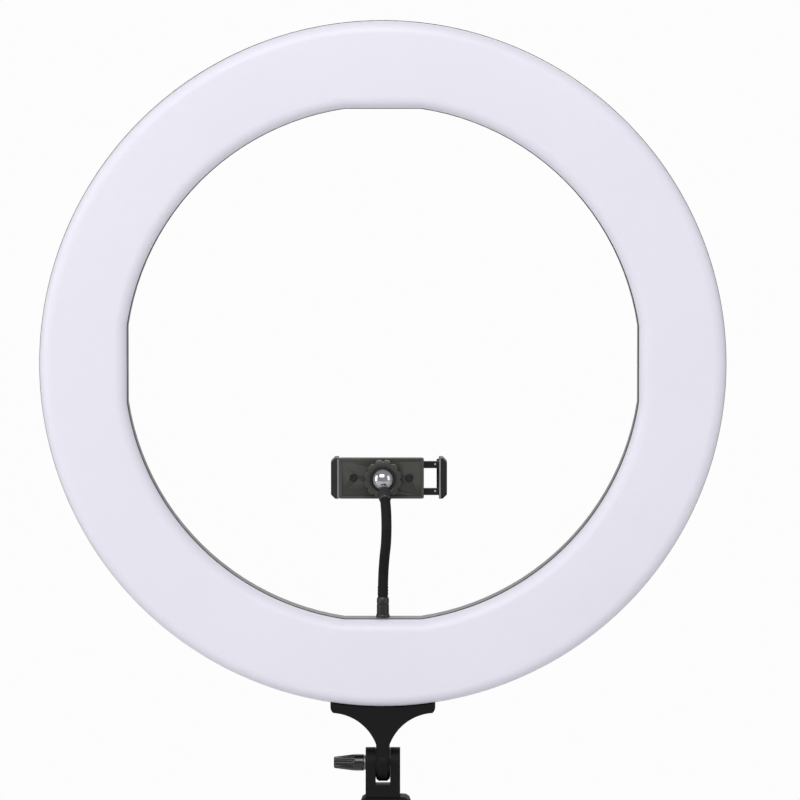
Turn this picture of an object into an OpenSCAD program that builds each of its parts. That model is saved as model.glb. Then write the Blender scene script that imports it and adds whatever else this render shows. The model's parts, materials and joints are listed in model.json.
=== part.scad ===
// Ring light on a clevis tilt mount, with a gooseneck phone clamp in its opening.
// Origin: centre of the stand socket's mouth. +Z up, the lit face looks along -Y.

/* [Ring] */
// Outer diameter of the ring
ring_d = 490; // [480:1:500]
// Diameter of the round part of the opening
opening_d = 368.2; // [367:0.1:369]
// Distance from the ring's centre to each of the four inner flats
flat_dist = 182.1; // [180:0.1:183]
// Depth of the rear housing
housing_depth = 20; // [20:0.5:24]
// Height of the diffuser in front of the housing
lens_depth = 12; // [12:0.5:16]
// Wall thickness of the housing
wall = 2.4; // [2:0.1:2.6]
// LEDs of each colour
led_count = 48; // [24:12:48]

/* [Tilt joint] */
// Height of the tilt axis above the socket's mouth
pivot_z = 68; // [67:0.5:75]
// Distance from the tilt axis to the ring's centre
arm_length = 286.3; // [286:0.1:288]
// Width of the fork
fork_w = 24.8; // [24:0.1:26]
// Width of the fork's slot
slot_w = 10.4; // [10.4:0.1:10.6]
// Thickness of the bracket's tongue
tongue_w = 9.8; // [9.4:0.1:9.8]

/* [Stand socket] */
// Bore that takes a 5/8 inch stand spigot
spigot_bore_d = 16.1; // [16:0.05:16.2]
// Depth of the bore
spigot_depth = 34; // [30:1:34]

/* [Gooseneck] */
// Outer diameter of the jacketed neck
neck_d = 7.3; // [7:0.1:7.6]
// How far the neck's plane is turned about the vertical, in degrees
neck_turn = 7; // [0:1:12]
// How far the ball sits behind the neck's foot
ball_back = 0; // [0:0.5:2]

/* [Phone clamp] */
// Opening between the jaws
jaw_gap = 71.7; // [66:0.1:75]
// Width of the clamp's body
clamp_w = 60.9; // [58:0.1:62]
// Height of the clamp's body
clamp_h = 29; // [28:0.1:30]

/* [Hidden] */
$fn = 96;
eps = 0.01;

// Ring: local x right, y up, z towards the viewer, z = 0 at the seam of housing and lens.
ring_r = ring_d / 2;
opening_r = opening_d / 2;
ring_z = pivot_z + arm_length;
seam_y = -6;
back_corner_r = 6;
lens_outer_r = ring_r - 0.4;
lens_inner_r = opening_r + 0.5;
lens_flat = flat_dist + 0.5;
lens_wall = 2;
lens_corner_r = 8.7;
lip_r = ring_r - wall - 0.2;
outer_screw_r = 236.4;
inner_screw_r = 190.3;
post_r = 3.2;
post_l = housing_depth - wall - 0.1;
boss_angles = [30, 90, 150, 210, 270, 330];
boss_r = 214;
spreader_z = -3.5;
spreader_t = 1.5;
board_t = 1.6;
board_z = spreader_z + spreader_t;
led_z = board_z + board_t;
vent_groups = [0, 60, 120, 180, 222, 318];
accessory_z = -housing_depth / 2;
insert_r = 5;
insert_l = 12;
quarter_inch_r = 3.2;

// Control pod on the back: local d measured outwards from the housing's back.
pod_w = 104;
pod_h = 38;
pod_d = 14;
pod_wall = 2;
pod_y = -212;
pod_screw_x = 47;
pod_screw_y = 14;
dial_x = 32;
shaft_r = 3;
rocker_tip = 8;
inlet_x = 16.5;
inlet_d = 7;

// Tilt joint and stand socket.
bracket_d = 24;
tongue_r = 13.3;
ear_r = 11;
slot_depth = 15.7;
bracket_seat = 1.6;
washer_r = 10.6;
fork_bottom_z = 44.2;
stud_r = 2.95;
stud_bore_r = 3.05;
knob_x = fork_w / 2 + 1.2;
lock_z = 17;
lock_hole_r = 4.05;
lock_bush_r = 6;
socket_x0 = -16;
socket_x1 = 20.2;
socket_half_y = 14.5;

// Gooseneck: an S of two arcs in one plane, between a vertical foot and a 45 degree top.
neck_r = neck_d / 2;
neck_y = seam_y - accessory_z;
neck_z = ring_z - flat_dist;
foot_l = 14.8;
top_angle = 45;
ball_h = 99.2;
stem_l = 9.8;
top_ferrule_l = 10.2;
top_run = stem_l + top_ferrule_l;
arc_out = top_run * sin(top_angle) - ball_back;
arc_2_r = arc_out / (1 - cos(top_angle));
arc_rise = ball_h - foot_l - top_run * cos(top_angle);
arc_1_r = (arc_rise - arc_2_r * sin(top_angle)) / (2 * sin(top_angle));
arc_2_l = arc_2_r * top_angle * PI / 180;
neck_l = arc_2_l + arc_1_r * 2 * top_angle * PI / 180;
hinge_count = 6;
hinge_step = neck_l / hinge_count;
link_dome_r = 3.3;
link_gap = 3.8;
foot_gap = 0.3;
top_gap = 0.5;

// Phone clamp, about the ball's centre: x right, y back, z up.
ball_r = 8.5;
stem_r = 3;
ball_x = -ball_back * sin(neck_turn);
ball_y = neck_y + ball_back * cos(neck_turn);
ball_z = neck_z + ball_h;
clamp_mid_x = -1.05;
clamp_mid_z = -0.3;
clamp_front = 10;
clamp_depth = 10;
clamp_wall = 2;
collar_r = 11;
collar_l = 9.4;
seat_r = 9.5;
rail_z = [9.4, -10];
rail_h = 5;
rail_d = 4;
rail_l = 45;
spring_z = 6.6;
spring_r = 2.3;
jaw_t = 5.8;
jaw_h = 29.1;
jaw_reach = 23;
jaw_left = clamp_mid_x - clamp_w / 2;
jaw_x = jaw_left + jaw_gap;
clamp_screw_x = 20;

// Places a child in the ring's own frame.
module in_ring() {
    translate([0, seam_y, ring_z]) rotate([90, 0, 0]) children();
}

// Places a child on the pod: z measured outwards from the housing's back face.
module on_pod(x = 0, y = 0) {
    in_ring() translate([x, pod_y + y, -housing_depth]) mirror([0, 0, 1]) children();
}

// Places a child in the neck's plane, at its foot; the plane's -Y is the way it leans out.
module in_neck() {
    translate([0, neck_y, neck_z]) rotate([0, 0, neck_turn]) children();
}

// Places a child at the ball's centre.
module at_ball() {
    translate([ball_x, ball_y, ball_z]) children();
}

module rounded_rect(w, h, r) {
    square([w - 2 * r, h], center = true);
    square([w, h - 2 * r], center = true);
    for (x = [-1, 1], y = [-1, 1]) translate([x * (w / 2 - r), y * (h / 2 - r)]) circle(r, $fn = 32);
}

module at_circle(angles, r) {
    for (a = angles) rotate([0, 0, a]) translate([r, 0, 0]) children();
}

// The opening's outline: a circle cut by four flats, grown outwards by g.
module opening(g, z0, z1) {
    translate([0, 0, z0]) linear_extrude(z1 - z0) intersection() {
        circle(opening_r + g, $fn = 180);
        square(2 * (flat_dist + g), center = true);
    }
}

// Section of a turned pan, from the axis out to r, with a rounded lower corner.
module pan_section(r, z0, z1, corner) {
    translate([0, z0]) square([r - corner, z1 - z0]);
    translate([0, z0 + corner]) square([r, z1 - z0 - corner]);
    translate([r - corner, z0 + corner]) circle(corner);
}

module screw(head_r, head_l, shank_r, shank_l) {
    difference() {
        cylinder(r = head_r, h = head_l);
        translate([0, 0, head_l * 0.4]) cylinder(r = head_r * 0.5, h = head_l, $fn = 6);
    }
    translate([0, 0, -shank_l]) cylinder(r = shank_r, h = shank_l + eps);
}

function outer_screw_angles() = [for (i = [0:7]) 22.5 + 45 * i];
function inner_screw_angles() = [for (i = [0:3]) 45 + 90 * i];

module housing_shell() {
    difference() {
        rotate_extrude($fn = 180) pan_section(ring_r, -housing_depth, 0, back_corner_r);
        opening(0, -housing_depth - 1, 1);
        difference() {
            rotate_extrude($fn = 180)
                pan_section(ring_r - wall, wall - housing_depth, 1, back_corner_r - wall);
            opening(wall, -housing_depth - 1, 2);
        }
    }
}

module vents() {
    for (g = vent_groups, i = [-3:3])
        rotate([0, 0, g + 4 * i]) translate([200, -1.2, -housing_depth - 1]) cube([28, 2.4, 6]);
}

module rear_housing() {
    boss_top = spreader_z + housing_depth;
    color("#26262a") in_ring() difference() {
        union() {
            housing_shell();
            at_circle(boss_angles, boss_r) translate([0, 0, -housing_depth + 1])
                cylinder(r = 3.6, h = boss_top - 1);
            at_circle([0:90:270], flat_dist + 1) translate([0, -9, -housing_depth + 1])
                cube([insert_l + 1, 18, housing_depth - 2]);
        }
        vents();
        at_circle(boss_angles, boss_r) translate([0, 0, -12]) cylinder(r = 1.5, h = 20);
        at_circle([0:90:270], flat_dist - 1) translate([0, 0, accessory_z]) rotate([0, 90, 0])
            cylinder(r = insert_r, h = insert_l + 1);
        at_circle(outer_screw_angles(), outer_screw_r) screw_seat();
        at_circle(inner_screw_angles(), inner_screw_r) screw_seat();
        for (x = bracket_screw_x()) translate([x, -ring_r - 1, accessory_z]) rotate([-90, 0, 0])
            cylinder(r = 2.1, h = 6);
        for (x = [-1, 1], y = [-1, 1])
            translate([x * pod_screw_x, pod_y + y * pod_screw_y, -housing_depth - 1])
                cylinder(r = 1.3, h = 5);
        translate([0, pod_y + 9, -housing_depth - 1]) cylinder(r = 4, h = 5);
    }
}

module screw_seat() {
    translate([0, 0, -housing_depth - 1]) cylinder(r = 1.6, h = 5);
    translate([0, 0, -housing_depth - 1]) cylinder(r = 3.1, h = 2.4);
}

// Section of the lens from its inner to its outer skirt; t shrinks it inwards.
module lens_section(t, foot) {
    r0 = lens_inner_r + t;
    r1 = lens_outer_r - t;
    top = lens_depth - t;
    corner = lens_corner_r - t;
    intersection() {
        translate([r0, foot]) square([r1 - r0, top - foot]);
        union() {
            translate([r0, foot]) square([r1 - r0, top - corner - foot]);
            translate([r0 + corner, foot]) square([r1 - r0 - 2 * corner, top - foot]);
            translate([r0 + corner, top - corner]) circle(corner);
            translate([r1 - corner, top - corner]) circle(corner);
        }
    }
}

// The chord pieces that make the inner skirt's four flats.
module lens_flats() {
    for (a = [0:90:270]) rotate([0, 0, a]) linear_extrude(lens_depth - lens_corner_r - 0.2)
        intersection() {
            circle(lens_inner_r + 1, $fn = 180);
            translate([lens_flat, -lens_flat / 2]) square([insert_l, lens_flat]);
        }
}

// Screw posts of the lens, from the housing's floor up into the lens.
module lens_posts() {
    intersection() {
        union() {
            at_circle(outer_screw_angles(), outer_screw_r) translate([0, 0, -post_l])
                cylinder(r = post_r, h = post_l + lens_depth);
            at_circle(inner_screw_angles(), inner_screw_r) translate([0, 0, -post_l])
                cylinder(r = post_r, h = post_l + lens_depth);
        }
        rotate_extrude($fn = 180) lens_section(1, -post_l - 1);
    }
}

module diffuser() {
    color("#e8e6f3") in_ring() difference() {
        union() {
            difference() {
                rotate_extrude($fn = 180) lens_section(0, 0);
                rotate_extrude($fn = 180) lens_section(lens_wall, -1);
            }
            lens_flats();
            rotate_extrude($fn = 180) {
                translate([lip_r - 1.5, -3]) square([1.5, 5]);
                translate([lip_r - 1.5, 0]) square([2.2, 2]);
            }
            lens_posts();
        }
        at_circle(outer_screw_angles(), outer_screw_r) translate([0, 0, -post_l - 1])
            cylinder(r = 1.5, h = 13);
        at_circle(inner_screw_angles(), inner_screw_r) translate([0, 0, -post_l - 1])
            cylinder(r = 1.5, h = 13);
    }
}

module heat_spreader() {
    color("silver") in_ring() translate([0, 0, spreader_z]) difference() {
        cylinder(r = 232, h = spreader_t, $fn = 180);
        translate([0, 0, -1]) cylinder(r = 197, h = 4, $fn = 180);
        at_circle(boss_angles, boss_r) translate([0, 0, -1]) cylinder(r = 1.6, h = 4);
    }
}

module led_boards() {
    color("white") in_ring() translate([0, 0, board_z]) difference() {
        for (a = [2:90:272]) rotate([0, 0, a]) rotate_extrude(angle = 86, $fn = 180)
            translate([199, 0]) square([30, board_t]);
        at_circle(boss_angles, boss_r) translate([0, 0, -1]) cylinder(r = 1.6, h = 4);
    }
}

// Two rows of LEDs, warm on the inner row and cool on the outer one.
module led_row(r) {
    step = 360 / led_count;
    in_ring() at_circle([for (i = [0:led_count - 1]) (i + 0.5) * step], r)
        translate([-2.5, -2.5, led_z]) cube([5, 5, 1.1]);
}

module warm_leds() {
    color("#f6d98a") led_row(206.5);
}

module cool_leds() {
    color("#f4f6ea") led_row(221.5);
}

module board_jumpers() {
    color("#e9e4d4") in_ring() at_circle([0:90:270], 214) translate([-2, -11, led_z])
        cube([4, 22, 1.2]);
}

module board_screws() {
    color("silver") in_ring() for (a = boss_angles) if (a != 90 && a != 270)
        rotate([0, 0, a]) translate([boss_r, 0, led_z]) screw(2.5, 1.6, 1.5, 9);
}

module housing_screws() {
    color("#3a3a3d") in_ring() {
        at_circle(outer_screw_angles(), outer_screw_r) translate([0, 0, -housing_depth + 1.4])
            mirror([0, 0, 1]) screw(2.9, 1.3, 1.5, 9);
        at_circle(inner_screw_angles(), inner_screw_r) translate([0, 0, -housing_depth + 1.4])
            mirror([0, 0, 1]) screw(2.9, 1.3, 1.5, 9);
    }
}

// Quarter-inch threaded inserts in the four flats; the lower one holds the gooseneck.
module accessory_inserts() {
    color("#b08d4c") in_ring() at_circle([0:90:270], flat_dist) translate([0, 0, accessory_z])
        rotate([0, 90, 0]) difference() {
            cylinder(r = insert_r, h = insert_l);
            translate([0, 0, -1]) cylinder(r = quarter_inch_r, h = insert_l + 2);
        }
}

module control_cover() {
    inner_d = pod_d - pod_wall;
    color("#26262a") difference() {
        on_pod() difference() {
            union() {
                difference() {
                    linear_extrude(pod_d) rounded_rect(pod_w, pod_h, 5);
                    translate([0, 0, -1]) linear_extrude(inner_d + 1)
                        rounded_rect(pod_w - 2 * pod_wall, pod_h - 2 * pod_wall, 3);
                }
                for (x = [-1, 1], y = [-1, 1]) translate([x * pod_screw_x, y * pod_screw_y, 0])
                    cylinder(r = 3.4, h = inner_d + eps);
            }
            for (x = [-1, 1], y = [-1, 1]) translate([x * pod_screw_x, y * pod_screw_y, 0]) {
                translate([0, 0, -1]) cylinder(r = 1.4, h = pod_d + 2);
                translate([0, 0, pod_d - 1.4]) cylinder(r = 2.5, h = 3);
            }
            for (x = [-1, 1]) translate([x * dial_x, 0, inner_d - 1]) cylinder(r = 3.5, h = 4);
            translate([0, 0, pod_d]) cube([18.8, 12.8, 10], center = true);
        }
        on_pod(inlet_x, -pod_h / 2) translate([0, -1, inlet_d]) rotate([-90, 0, 0])
            cylinder(r = 4.3, h = pod_wall + 2);
    }
}

module cover_screws() {
    color("#3a3a3d") on_pod() for (x = [-1, 1], y = [-1, 1])
        translate([x * pod_screw_x, y * pod_screw_y, pod_d - 1.4]) screw(2.4, 1.2, 1.25, 14);
}

module driver_board() {
    color("#1f6a3c") on_pod() translate([0, 0, 0.4]) linear_extrude(1.6) square([84, 32], center = true);
}

module driver_components() {
    on_pod() translate([0, 0, 2]) {
        color("#2b2b6e") translate([-17, 9, 0]) cylinder(r = 4, h = 8);
        color("#2b2b6e") translate([-17, -1, 0]) cylinder(r = 3, h = 8);
        color("#444444") translate([13, 4, 0]) cube([9, 9, 5]);
        color("#202020") translate([-21, -13.5, 0]) cube([9, 6, 1.6]);
        color("#202020") translate([-7, -14.5, 0]) cube([6, 5, 1.6]);
        color("#f2f0e6") translate([-4, 10.5, 0]) cube([8, 4.5, 5]);
    }
}

module led_lead() {
    lead_l = housing_depth + spreader_z + 0.4;
    color("#a02020") on_pod(0, 9) for (x = [-1.3, 1.3]) translate([x, 0, 0.4 - lead_l])
        cylinder(r = 0.9, h = lead_l, $fn = 24);
}

// Barrel jack: outer sleeve with its centre contact.
module dc_inlet() {
    color("#18181a") on_pod(inlet_x, -pod_h / 2) {
        difference() {
            union() {
                translate([-4.5, pod_wall, inlet_d - 4.5]) cube([9, 11.5, 9]);
                translate([0, -0.6, inlet_d]) rotate([-90, 0, 0])
                    cylinder(r = 4.2, h = pod_wall + 0.6 + eps);
            }
            translate([0, -1, inlet_d]) rotate([-90, 0, 0]) cylinder(r = 2.8, h = 10.5);
        }
        translate([0, 0.8, inlet_d]) rotate([-90, 0, 0]) cylinder(r = 1.05, h = 9);
    }
}

// Rocker switch: frame with a pocket, and a rocker on two pivot stubs.
module switch_frame() {
    color("#18181a") on_pod() difference() {
        union() {
            translate([0, 0, pod_d]) linear_extrude(1.5) rounded_rect(21.5, 15.5, 1.5);
            translate([0, 0, pod_d - 4.5]) cube([18.6, 12.6, 9.05], center = true);
        }
        translate([0, 0, pod_d]) cube([14.4, 9.4, 8], center = true);
        translate([0, 0, pod_d]) rotate([90, 0, 0]) cylinder(r = 1.07, h = 11.4, center = true);
    }
}

// The rocker at rest lies tipped to its off side.
module switch_rocker() {
    color("#101012") on_pod() translate([0, 0, pod_d]) rotate([0, rocker_tip, 0]) rotate([90, 0, 0]) {
        linear_extrude(8.6, center = true)
            polygon([[-6.3, 2.9], [0, 1.7], [6.3, 2.9], [5.4, -2.4], [-5.4, -2.4]]);
        cylinder(r = 1, h = 11, center = true);
    }
}

module dial_pots() {
    color("#8c8c90") on_pod() for (x = [-1, 1]) translate([x * dial_x, 0, 2]) difference() {
        cylinder(r = 7.5, h = pod_d - pod_wall - 2);
        translate([0, 0, 3]) cylinder(r = shaft_r + 0.06, h = 10);
    }
}

module dial_shaft(x) {
    color("#c8c8cc") on_pod(x) translate([0, 0, 5.3]) cylinder(r = shaft_r, h = 17);
}

// Turning knob: a skirt, a fluted grip and a shaft hole.
module dial_knob(x) {
    color("#161618") on_pod(x) translate([0, 0, pod_d + 0.6]) difference() {
        union() {
            cylinder(r = 9.5, h = 2);
            translate([0, 0, 2 - eps]) cylinder(r1 = 8.6, r2 = 7.9, h = 9);
        }
        at_circle([0:18:342], 9) translate([0, 0, 2.5]) cylinder(r = 0.7, h = 10, $fn = 16);
        translate([0, 0, -1]) cylinder(r = shaft_r, h = 8.7);
    }
}

module brightness_shaft() {
    dial_shaft(-dial_x);
}

module brightness_knob() {
    dial_knob(-dial_x);
}

module colour_shaft() {
    dial_shaft(dial_x);
}

module colour_knob() {
    dial_knob(dial_x);
}

function bracket_screw_x() = [-31, -17, 17, 31];

// The two rounds that hollow the bracket's sides, beside and below the web.
module bracket_hollows(r) {
    for (x = [-1, 1]) translate([x * 37.6, -284.2]) circle(r, $fn = 180);
}

// Front outline of the bracket: a saddle under the ring and a web with two concave fillets.
module bracket_outline() {
    saddle_w = 75;
    saddle_bottom = -250.9;
    web_w = 56;
    web_h = 22;
    hollow_r = 34.9;
    difference() {
        translate([0, saddle_bottom + 10]) rounded_rect(saddle_w, 20, 6);
        translate([-saddle_w, -238]) square([2 * saddle_w, 20]);
        bracket_hollows(hollow_r);
    }
    difference() {
        translate([-web_w / 2, saddle_bottom - web_h]) square([web_w, web_h + 2]);
        bracket_hollows(hollow_r);
    }
}

// Round end of the tongue, about the tilt axis, with its rim bevelled.
module tongue_end() {
    bevel = 1.8;
    half = tongue_w / 2;
    rotate_extrude() polygon([[0, -half], [tongue_r - bevel, -half], [tongue_r, bevel - half],
        [tongue_r, half - bevel], [tongue_r - bevel, half], [0, half]]);
}

module bracket() {
    neck_top = arm_length - 270;
    color("#1b1b1d") difference() {
        union() {
            in_ring() translate([0, 0, seam_y - bracket_d / 2]) difference() {
                linear_extrude(bracket_d) bracket_outline();
                translate([0, 0, -1]) cylinder(r = ring_r, h = bracket_d + 2, $fn = 180);
                for (x = bracket_screw_x()) translate([x, -ring_r - bracket_seat, 8])
                    rotate([-90, 0, 0]) {
                        cylinder(r = 2.1, h = 8);
                        translate([0, 0, -5]) cylinder(r = 4, h = 5);
                    }
            }
            translate([0, 0, pivot_z]) rotate([0, 90, 0]) tongue_end();
            translate([-tongue_w / 2, -bracket_d / 2, pivot_z]) cube([tongue_w, bracket_d, neck_top]);
        }
        translate([0, 0, pivot_z]) rotate([0, 90, 0])
            cylinder(r = stud_bore_r, h = fork_w, center = true);
        for (x = [-1, 1]) translate([x * (tongue_w / 2 + 0.1), 0, pivot_z]) rotate([0, 90, 0])
            cylinder(r = washer_r + 0.2, h = 2, center = true);
    }
}

// Steel plate inside the housing that the bracket's screws bite into.
module bracket_plate() {
    color("#9a9ca0") in_ring() difference() {
        translate([-34, -239.6, -housing_depth + wall + 3.2]) cube([68, 2, 10.6]);
        for (x = bracket_screw_x()) translate([x, -242, accessory_z]) rotate([-90, 0, 0])
            cylinder(r = 2, h = 6);
    }
}

module bracket_screws() {
    color("#3a3a3d") in_ring() for (x = bracket_screw_x())
        translate([x, -ring_r - bracket_seat, accessory_z]) rotate([90, 0, 0])
            screw(3.6, 2.2, 2, 10.7);
}

module friction_washers() {
    color("#1d1d1e") for (x = [-1, 1]) translate([x * (tongue_w / 2 - 0.33), 0, pivot_z])
        rotate([0, 90, 0]) difference() {
            cylinder(r = washer_r, h = 1.14, center = true);
            cylinder(r = 3.3, h = 3, center = true);
        }
}

module fork() {
    color("#1b1b1d") difference() {
        union() {
            translate([0, 0, pivot_z]) rotate([0, 90, 0])
                cylinder(r = ear_r, h = fork_w, center = true);
            translate([-fork_w / 2, -ear_r, fork_bottom_z])
                cube([fork_w, 2 * ear_r, pivot_z - fork_bottom_z]);
            translate([-fork_w / 2, -ear_r - 0.5, fork_bottom_z])
                cube([fork_w, 2 * ear_r + 1, 4.5]);
        }
        translate([-slot_w / 2, -ear_r - 1, pivot_z - slot_depth])
            cube([slot_w, 2 * ear_r + 2, slot_depth + ear_r + 1]);
        translate([0, 0, pivot_z]) rotate([0, 90, 0])
            cylinder(r = stud_bore_r, h = fork_w + 2, center = true);
        translate([fork_w / 2 - 5, 0, pivot_z]) rotate([0, 90, 0])
            cylinder(r = 5.77, h = 6, $fn = 6);
        translate([0, 0, fork_bottom_z - 1]) cylinder(r = 3, h = 8);
    }
}

module pivot_nut() {
    color("silver") translate([fork_w / 2 - 5, 0, pivot_z]) rotate([0, 90, 0]) difference() {
        cylinder(r = 5.77, h = 5, $fn = 6);
        translate([0, 0, -1]) cylinder(r = stud_bore_r, h = 7);
    }
}

// Collar with the stand's bore; its boss on the right carries the lock screw.
module socket_body() {
    w = socket_x1 - socket_x0;
    round_h = 5;
    color("#1b1b1d") difference() {
        translate([(socket_x0 + socket_x1) / 2, 0, 0]) {
            linear_extrude(fork_bottom_z - round_h) rounded_rect(w, 2 * socket_half_y, 5);
            hull() {
                translate([0, 0, fork_bottom_z - round_h - eps]) linear_extrude(0.1)
                    rounded_rect(w, 2 * socket_half_y, 5);
                translate([0, 0, fork_bottom_z - 1.6]) linear_extrude(0.1)
                    rounded_rect(w - 2.6, 2 * socket_half_y - 2.6, 4);
                translate([0, 0, fork_bottom_z - 0.1]) linear_extrude(0.1)
                    rounded_rect(w - 7, 2 * socket_half_y - 7, 3);
            }
        }
        translate([0, 0, -1]) cylinder(d = spigot_bore_d, h = spigot_depth + 1);
        cylinder(r = 6.5, h = 41);
        translate([0, 0, 40]) cylinder(r = 3, h = 8);
        translate([4, 0, lock_z]) rotate([0, 90, 0]) cylinder(r = lock_hole_r, h = 20);
        translate([9.5, 0, lock_z]) rotate([0, 90, 0]) cylinder(r = lock_bush_r, h = 20);
    }
}

module socket_bolt() {
    color("#8c8e92") translate([0, 0, 41]) mirror([0, 0, 1]) screw(5, 5, 3, 10);
}

module lock_bush() {
    color("#b08d4c") translate([9.5, 0, lock_z]) rotate([0, 90, 0]) difference() {
        cylinder(r = lock_bush_r, h = socket_x1 - 9.5);
        translate([0, 0, -1]) cylinder(r = 4, h = 20);
    }
}

module lock_pad() {
    color("#b08d4c") translate([8.4, 0, lock_z]) rotate([0, 90, 0]) cylinder(r = 3.9, h = 2);
}

module lock_screw() {
    color("#8c8e92") translate([10.5, 0, lock_z]) rotate([0, 90, 0])
        cylinder(r = 3.92, h = socket_x1 + 4.4);
}

// Clamping knob along +Z: plain base collar, fluted taper, rounded tip, hole for its stud.
module fluted_knob(base_r, base_l, tip_r, taper_l, hole_r, hole_l) {
    flute_r = base_r * 0.3;
    lean = atan((base_r - tip_r) / taper_l);
    difference() {
        union() {
            cylinder(r = base_r, h = base_l + eps);
            translate([0, 0, base_l]) cylinder(r1 = base_r, r2 = tip_r, h = taper_l - 1);
            translate([0, 0, base_l + taper_l - 1 - eps])
                cylinder(r1 = tip_r, r2 = tip_r - 1, h = 1);
        }
        for (a = [0:45:315]) rotate([0, 0, a]) translate([base_r + flute_r * 0.35, 0, base_l + 1])
            rotate([0, -lean, 0]) cylinder(r = flute_r, h = taper_l + 5, $fn = 24);
        translate([0, 0, -1]) cylinder(r = hole_r, h = hole_l + 1);
    }
}

module lock_knob() {
    color("#161618") translate([socket_x1 + 1.6, 0, lock_z]) rotate([0, 90, 0])
        fluted_knob(7.5, 7, 5.6, 15, 3.92, 13.4);
}

module tilt_washer() {
    color("#c9cacc") translate([-fork_w / 2 - 1.1, 0, pivot_z]) rotate([0, 90, 0]) difference() {
        cylinder(r = 5.4, h = 1);
        translate([0, 0, -1]) cylinder(r = stud_bore_r, h = 3);
    }
}

module tilt_stud() {
    color("#8c8e92") translate([-knob_x - 14, 0, pivot_z]) rotate([0, 90, 0])
        cylinder(r = stud_r, h = knob_x + 14 + fork_w / 2 - 0.4);
}

module tilt_knob() {
    color("#161618") translate([-knob_x, 0, pivot_z]) rotate([0, -90, 0])
        fluted_knob(5.95, 6.6, 4.2, 15, stud_r, 14);
}

// Neck's centreline at arc length s: [out, up, heading in degrees from the vertical].
function neck_heading(s) = s < arc_2_l
    ? s / arc_2_r * 180 / PI
    : top_angle - (s - arc_2_l) / arc_1_r * 180 / PI;
function neck_out(s) = s < arc_2_l
    ? arc_2_r * (1 - cos(neck_heading(s)))
    : arc_out + arc_1_r * (cos(neck_heading(s)) - cos(top_angle));
function neck_up(s) = s < arc_2_l
    ? foot_l + arc_2_r * sin(neck_heading(s))
    : foot_l + arc_2_r * sin(top_angle) + arc_1_r * (sin(top_angle) - sin(neck_heading(s)));
function hinge_s(i) = (i - 0.5) * hinge_step;

module neck_stud() {
    color("#8c8e92") in_neck() translate([0, 0, -10]) cylinder(r = 3.17, h = 14);
}

module neck_ferrule() {
    color("#202022") in_neck() difference() {
        union() {
            cylinder(r = 4.9, h = 2.2);
            translate([0, 0, 2.2 - eps]) cylinder(r = 4.4, h = foot_l - 3.8);
            translate([0, 0, foot_l - 1.6 - eps]) cylinder(r1 = 4.4, r2 = neck_r, h = 1.6 + eps);
        }
        translate([0, 0, -1]) cylinder(r = 3.17, h = 5);
    }
}

// One rigid piece of the neck between arc lengths s0 and s1, cut short by a gap at each end.
module neck_piece(s0, s1, dome, gap0, gap1) {
    out = neck_out(s1) - neck_out(s0);
    up = neck_up(s1) - neck_up(s0);
    chord = sqrt(out * out + up * up);
    color("#232325") in_neck() translate([0, -neck_out(s0), neck_up(s0)])
        rotate([atan2(out, up), 0, 0]) {
            translate([0, 0, gap0]) cylinder(r = neck_r, h = chord - gap0 - gap1);
            if (dome) sphere(r = link_dome_r);
        }
}

module neck_link(i) {
    if (i == 1) neck_piece(0, hinge_s(1), false, foot_gap, link_gap);
    else if (i == hinge_count + 1) neck_piece(hinge_s(hinge_count), neck_l, true, 0, top_gap);
    else neck_piece(hinge_s(i - 1), hinge_s(i), true, 0, link_gap);
}

module neck_link_1() {
    neck_link(1);
}

module neck_link_2() {
    neck_link(2);
}

module neck_link_3() {
    neck_link(3);
}

module neck_link_4() {
    neck_link(4);
}

module neck_link_5() {
    neck_link(5);
}

module neck_link_6() {
    neck_link(6);
}

module neck_link_7() {
    neck_link(7);
}

// Places a child at the neck's upper end, +Z along the stem towards the ball.
module at_neck_top() {
    in_neck() translate([0, -neck_out(neck_l), neck_up(neck_l)]) rotate([-top_angle, 0, 0])
        children();
}

module neck_top_ferrule() {
    color("#202022") at_neck_top() difference() {
        union() {
            cylinder(r1 = neck_r, r2 = 4.4, h = 1.6);
            translate([0, 0, 1.6 - eps]) cylinder(r = 4.4, h = top_ferrule_l - 3);
            translate([0, 0, top_ferrule_l - 1.4 - eps]) cylinder(r1 = 4.4, r2 = 3.6, h = 1.4);
        }
        translate([0, 0, top_ferrule_l - 7]) cylinder(r = stem_r, h = 9);
    }
}

module ball_stem() {
    color("#d2d3d6") at_neck_top() translate([0, 0, top_ferrule_l - 7])
        cylinder(r = stem_r, h = 7 + stem_l - 2.2);
}

module clamp_ball() {
    color("#d2d3d6") at_neck_top() translate([0, 0, top_run]) difference() {
        sphere(r = ball_r);
        translate([0, 0, -ball_r - 1]) cylinder(r = stem_r + 0.05, h = ball_r - 1);
    }
}

// Nylon seat that snaps over the ball and turns in the clamp's collar.
module ball_seat() {
    color("#1d1d1e") at_ball() rotate([90, 0, 0]) difference() {
        union() {
            translate([0, 0, -seat_r - 0.2]) cylinder(r = seat_r, h = seat_r + 1.1);
            translate([0, 0, 0.9 - eps]) cylinder(r1 = seat_r, r2 = 8.9, h = 2.1);
        }
        sphere(r = ball_r + 0.2);
    }
}

// Scalloped nut: its lip holds the seat, its bore turns on the clamp's collar.
module ball_nut() {
    color("#1c1c1e") at_ball() rotate([90, 0, 0]) difference() {
        translate([0, 0, 0.4 - clamp_front]) cylinder(r = 13.6, h = 13);
        rotate_extrude() polygon([[0, -clamp_front], [collar_r + 0.06, -clamp_front],
            [collar_r + 0.06, 0.6], [seat_r + 0.1, 0.6], [seat_r + 0.1, 0.8], [9.1, 2.8],
            [10.3, 3.4], [10.3, 4], [0, 4]]);
        at_circle([15:30:345], 15) translate([0, 0, -clamp_front]) cylinder(r = 2.6, h = 15, $fn = 24);
    }
}

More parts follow.
